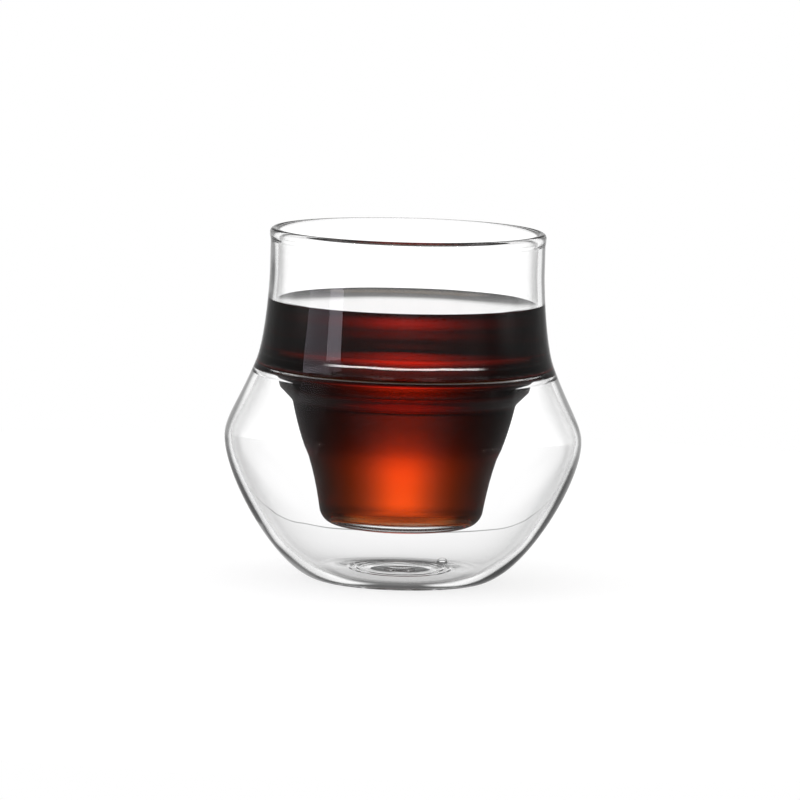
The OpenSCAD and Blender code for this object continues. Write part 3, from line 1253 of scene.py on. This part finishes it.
class RoomLight:
    """The light of the white room round the cup."""

    def __init__(self, tones: RoomTones) -> None:
        """Starts the room's tree with what all its tones read.

        Args:
            tones: Tones of the room.
        """
        world = bpy.data.worlds.new("studio")
        bpy.context.scene.world = world
        world.use_nodes = True
        tree = world.node_tree
        tree.nodes.clear()
        self.tones = tones
        self.tree = tree
        self.rays = add_node(tree, "ShaderNodeLightPath").outputs
        way = add_node(tree, "ShaderNodeTexCoord").outputs["Generated"]
        parts = add_node(tree, "ShaderNodeSeparateXYZ", inputs={0: way}).outputs
        self.front = parts["Y"]
        self.height = parts["Z"]
        self.heading = angle_from_axes(tree, way)
        lift = add_node(tree, MATH, {"operation": "ARCSINE"}, {0: self.height})
        self.lift = add_node(tree, MATH, DEGREES, {0: lift})
        self.above = add_node(tree, MATH, ADD, {0: self.lift, 1: tones.under_level})
        both = add_node(tree, "ShaderNodeCombineXYZ", inputs={0: self.heading, 1: self.above})
        self.off = add_node(tree, "ShaderNodeVectorMath", LENGTH, {0: both}).outputs["Value"]
        self.sheet = changed(tree, tones.corner, self.heading, tones.sheet)

    def build(self) -> None:
        """Lights the room."""
        tree = self.tree
        passed = changed(tree, self.looked_through(), self.rays["Glossy Depth"], SWITCH, self.mirrored())
        strength = changed(tree, passed, self.rays["Is Camera Ray"], SWITCH)
        glow = add_node(tree, "ShaderNodeBackground", inputs={"Color": WHITE, "Strength": strength})
        add_node(tree, "ShaderNodeOutputWorld", inputs={"Surface": glow})

    def looked_through(self) -> bpy.types.Node:
        """Adds the room as it is seen through the cup.

        Returns:
            Node that gives the brightness.
        """
        tree, tones = self.tree, self.tones
        clear = changed(tree, self.sheet, self.height, tones.table)
        clear = changed(tree, clear, self.height, tones.ceiling)
        strip = add_node(tree, MATH, TIMES, {0: GLOW_STRIP.add(tree, self.heading), 1: tones.strip})
        through = changed(tree, clear, self.rays["Transmission Depth"], THROUGH_COFFEE, strip)
        return changed(tree, 1.0, self.rays["Is Transmission Ray"], SWITCH, through)

    def mirrored(self) -> bpy.types.Node:
        """Adds the room as the glass mirrors it, by how many surfaces lie before.

        Returns:
            Node that gives the brightness.
        """
        depth = self.rays["Transmission Depth"]
        skin = changed(self.tree, self.on_outer_skin(), depth, self.tones.in_wall, self.inside_wall())
        return changed(self.tree, skin, depth, self.tones.past_wall, self.on_bowl())

    def on_outer_skin(self) -> bpy.types.Node:
        """Adds the backdrop, the room beyond it and the bar of light.

        Returns:
            Node that gives the brightness.
        """
        tree, tones = self.tree, self.tones
        backdrop = {0: tones.backdrop.add(tree, self.off), 1: tones.backdrop_tone, 2: tones.beyond}
        room = add_node(tree, MATH, TIMES_AND_ADD, backdrop)
        in_front = changed(tree, 0.0, self.front, tones.in_front)
        room = add_node(tree, MATH, ADD, {0: in_front, 1: room})
        return add_node(tree, MATH, ADD, {0: self.bar_of_light(), 1: room})

    def bar_of_light(self) -> bpy.types.Node:
        """Adds a long bar of light, which shows where a skin that faces it leans just so.

        Returns:
            Node that gives the brightness.
        """
        tree, tones = self.tree, self.tones
        # A mirrored direction tells how squarely the skin faces the front, and from that how it leans
        spread = add_node(tree, MATH, TIMES_AND_ADD, {0: self.front, 1: -0.5, 2: 0.5})
        spread = add_node(tree, MATH, {"operation": "SQRT"}, {0: spread})
        spread = add_node(tree, MATH, GREATEST, {0: spread, 1: tones.least_spread})
        raised = add_node(tree, MATH, ADD, {0: self.height, 1: math.sin(math.radians(tones.under_level))})
        bend = add_node(tree, MATH, DIVIDE, {0: raised, 1: spread})
        away = add_node(tree, MATH, ADD, {0: bend, 1: -tones.bar_bend})
        away = add_node(tree, MATH, UNSIGNED, {0: away})
        bar = changed(tree, 0.0, away, tones.bar)
        return changed(tree, 0.0, self.front, tones.bar_in_front, bar)

    def inside_wall(self) -> bpy.types.Node:
        """Adds the lines that run along a wall's edge.

        Returns:
            Node that gives the brightness.
        """
        tree, tones = self.tree, self.tones
        low = changed(tree, tones.low, self.lift, tones.low_to_level)
        beside = changed(tree, tones.line, self.heading, tones.beside_line)
        edge = changed(tree, low, self.off, tones.past_middle, beside)
        edge = changed(tree, edge, self.off, tones.edge)
        steep = add_node(tree, MATH, UNSIGNED, {0: self.above})
        return changed(tree, edge, steep, tones.steep)

    def on_bowl(self) -> bpy.types.Node:
        """Adds the room on the bowl and on the coffee.

        Returns:
            Node that gives the brightness.
        """
        tree, tones = self.tree, self.tones
        bowl = changed(tree, tones.dark, self.lift, tones.to_sheet, self.sheet)
        bowl = changed(tree, bowl, self.lift, tones.over_sheet)
        haze = changed(tree, bowl, self.lift, tones.haze)
        haze = changed(tree, bowl, self.lift, tones.haze_foot, haze)
        return changed(tree, bowl, self.front, tones.haze_in_front, haze)


@dataclass(frozen=True)
class Softbox:
    """A softbox that faces the cup from a metre away. Its heading is counted from the front, to the
    right, and its height above level, both in degrees. Its width and how tall it is are in metres."""

    name: str
    heading: float
    height: float
    width: float
    tall: float
    glow: float
    colour: tuple[float, float, float] = (0.93, 0.87, 1.0)
    aim: tuple[float, float, float] = (0.0, 0.0, 0.045)

    def build(self) -> None:
        """Hangs it where the glass mirrors it but doesn't show it from behind."""
        turn = math.radians(self.heading - 90)
        lift = math.radians(self.height)
        away = Vector((math.cos(turn) * math.cos(lift), math.sin(turn) * math.cos(lift), math.sin(lift)))
        light = bpy.data.lights.new(self.name, "AREA")
        light.shape = "RECTANGLE"
        light.size = self.width
        light.size_y = self.tall
        light.energy = self.glow * math.pi * self.width * self.tall
        light.color = self.colour
        lamp = bpy.data.objects.new(self.name, light)
        lamp.location = Vector(self.aim) + away
        lamp.rotation_euler = away.to_track_quat("Z", "Y").to_euler()
        lamp.visible_transmission = False
        bpy.context.scene.collection.objects.link(lamp)


@dataclass
class Studio:
    """The camera, the table top, the room and a softbox on the left, whose inner half is brighter."""

    elevation: float = 6.5
    roll: float = 1.5
    distance: float = 1.8
    aim: tuple[float, float, float] = (-0.0009, 0.0, 0.04064)
    lens: float = 361.0
    sensor_width: float = 36.0
    clip: tuple[float, float] = (0.05, 20.0)
    softboxes: tuple[Softbox, ...] = (
        Softbox("left softbox", -70.0, 10.0, 0.62, 0.5, 2.0),
        Softbox("left softbox, inner half", -59.0, 5.5, 0.22, 0.31, 4.4),
        Softbox("left softbox, upper half", -76.0, 28.0, 0.42, 0.38, 1.2),
    )

    def build(self) -> None:
        """Builds all of it."""
        self.place_camera()
        TableTop().build()
        RoomLight(RoomTones()).build()
        for softbox in self.softboxes:
            softbox.build()

    def place_camera(self) -> None:
        """Places the camera at the height that a guest at the table looks from."""
        tilt = math.radians(self.elevation)
        roll = math.radians(self.roll)
        back = Vector((0.0, -math.cos(tilt), math.sin(tilt)))
        level_right = Vector((1.0, 0.0, 0.0))
        level_up = back.cross(level_right)
        right = level_right * math.cos(roll) + level_up * math.sin(roll)
        up = level_up * math.cos(roll) - level_right * math.sin(roll)
        lens = bpy.data.cameras.new("camera")
        lens.lens = self.lens
        lens.sensor_width = self.sensor_width
        lens.clip_start, lens.clip_end = self.clip
        camera = bpy.data.objects.new("camera", lens)
        place = Vector(self.aim) + back * self.distance
        turned = Matrix((right, up, back)).transposed().to_4x4()
        camera.matrix_world = Matrix.Translation(place) @ turned
        bpy.context.scene.collection.objects.link(camera)
        bpy.context.scene.camera = camera


@dataclass
class GlassCup:
    """The whole cup and the coffee in it."""

    sizes: CupSizes = CupSizes()

    def build(self) -> None:
        """Builds every piece in order."""
        outline = CupOutline(self.sizes)
        tree = TurningTree()
        clear = BlownGlassFinish().build()
        wetted = BlownGlassFinish(name="borosilicate glass, wetted", ior=GLASS_IOR / COFFEE_IOR).build()
        calm = BlownGlassFinish(name="borosilicate glass, shell", shine=0.001).build()
        sealed = BlownGlassFinish(name="borosilicate glass, sealed gap").build()
        joint = FusedJointFinish().build()
        glass = {Skin.OPEN_AIR: clear, Skin.WETTED: wetted, Skin.FUSED: joint, Skin.SEALED: sealed}
        shell_glass = {Skin.OPEN_AIR: calm, Skin.FUSED: joint}
        coffee = BrewedCoffee(outline)
        InnerGlass(outline, wet_height=coffee.wet_height).build(tree, glass)
        OuterShell(outline).build(tree, shell_glass)
        ShoulderWeld(outline).build(tree, shell_glass)
        VentSeal(outline).build(tree, shell_glass)
        brew = CoffeeFinish().build()
        coffee.build(tree, {skin: brew for skin in Skin})


def set_light_paths(surfaces: int = 32, mirrors: int = 12) -> None:
    """Lets light pass through all the walls of the cup.

    Args:
        surfaces: Number of surfaces that light may pass.
        mirrors: Number of mirrors that it may bounce off.
    """
    cycles = bpy.context.scene.cycles
    cycles.max_bounces = surfaces
    cycles.transmission_bounces = surfaces
    cycles.transparent_max_bounces = surfaces
    cycles.glossy_bounces = mirrors
    cycles.caustics_refractive = True
    bpy.context.scene.view_settings.view_transform = "Standard"


def numbers(box: tuple) -> list[list[float]]:
    """Returns a box's two corners as plain lists."""
    return [[float(value) for value in corner] for corner in box]


def main() -> None:
    """Builds the scene."""
    logging.basicConfig(level=logging.INFO, format="%(name)s: %(message)s")
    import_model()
    set_light_paths()
    Studio().build()
    GlassCup().build()


if __name__ == "__main__":
    main()
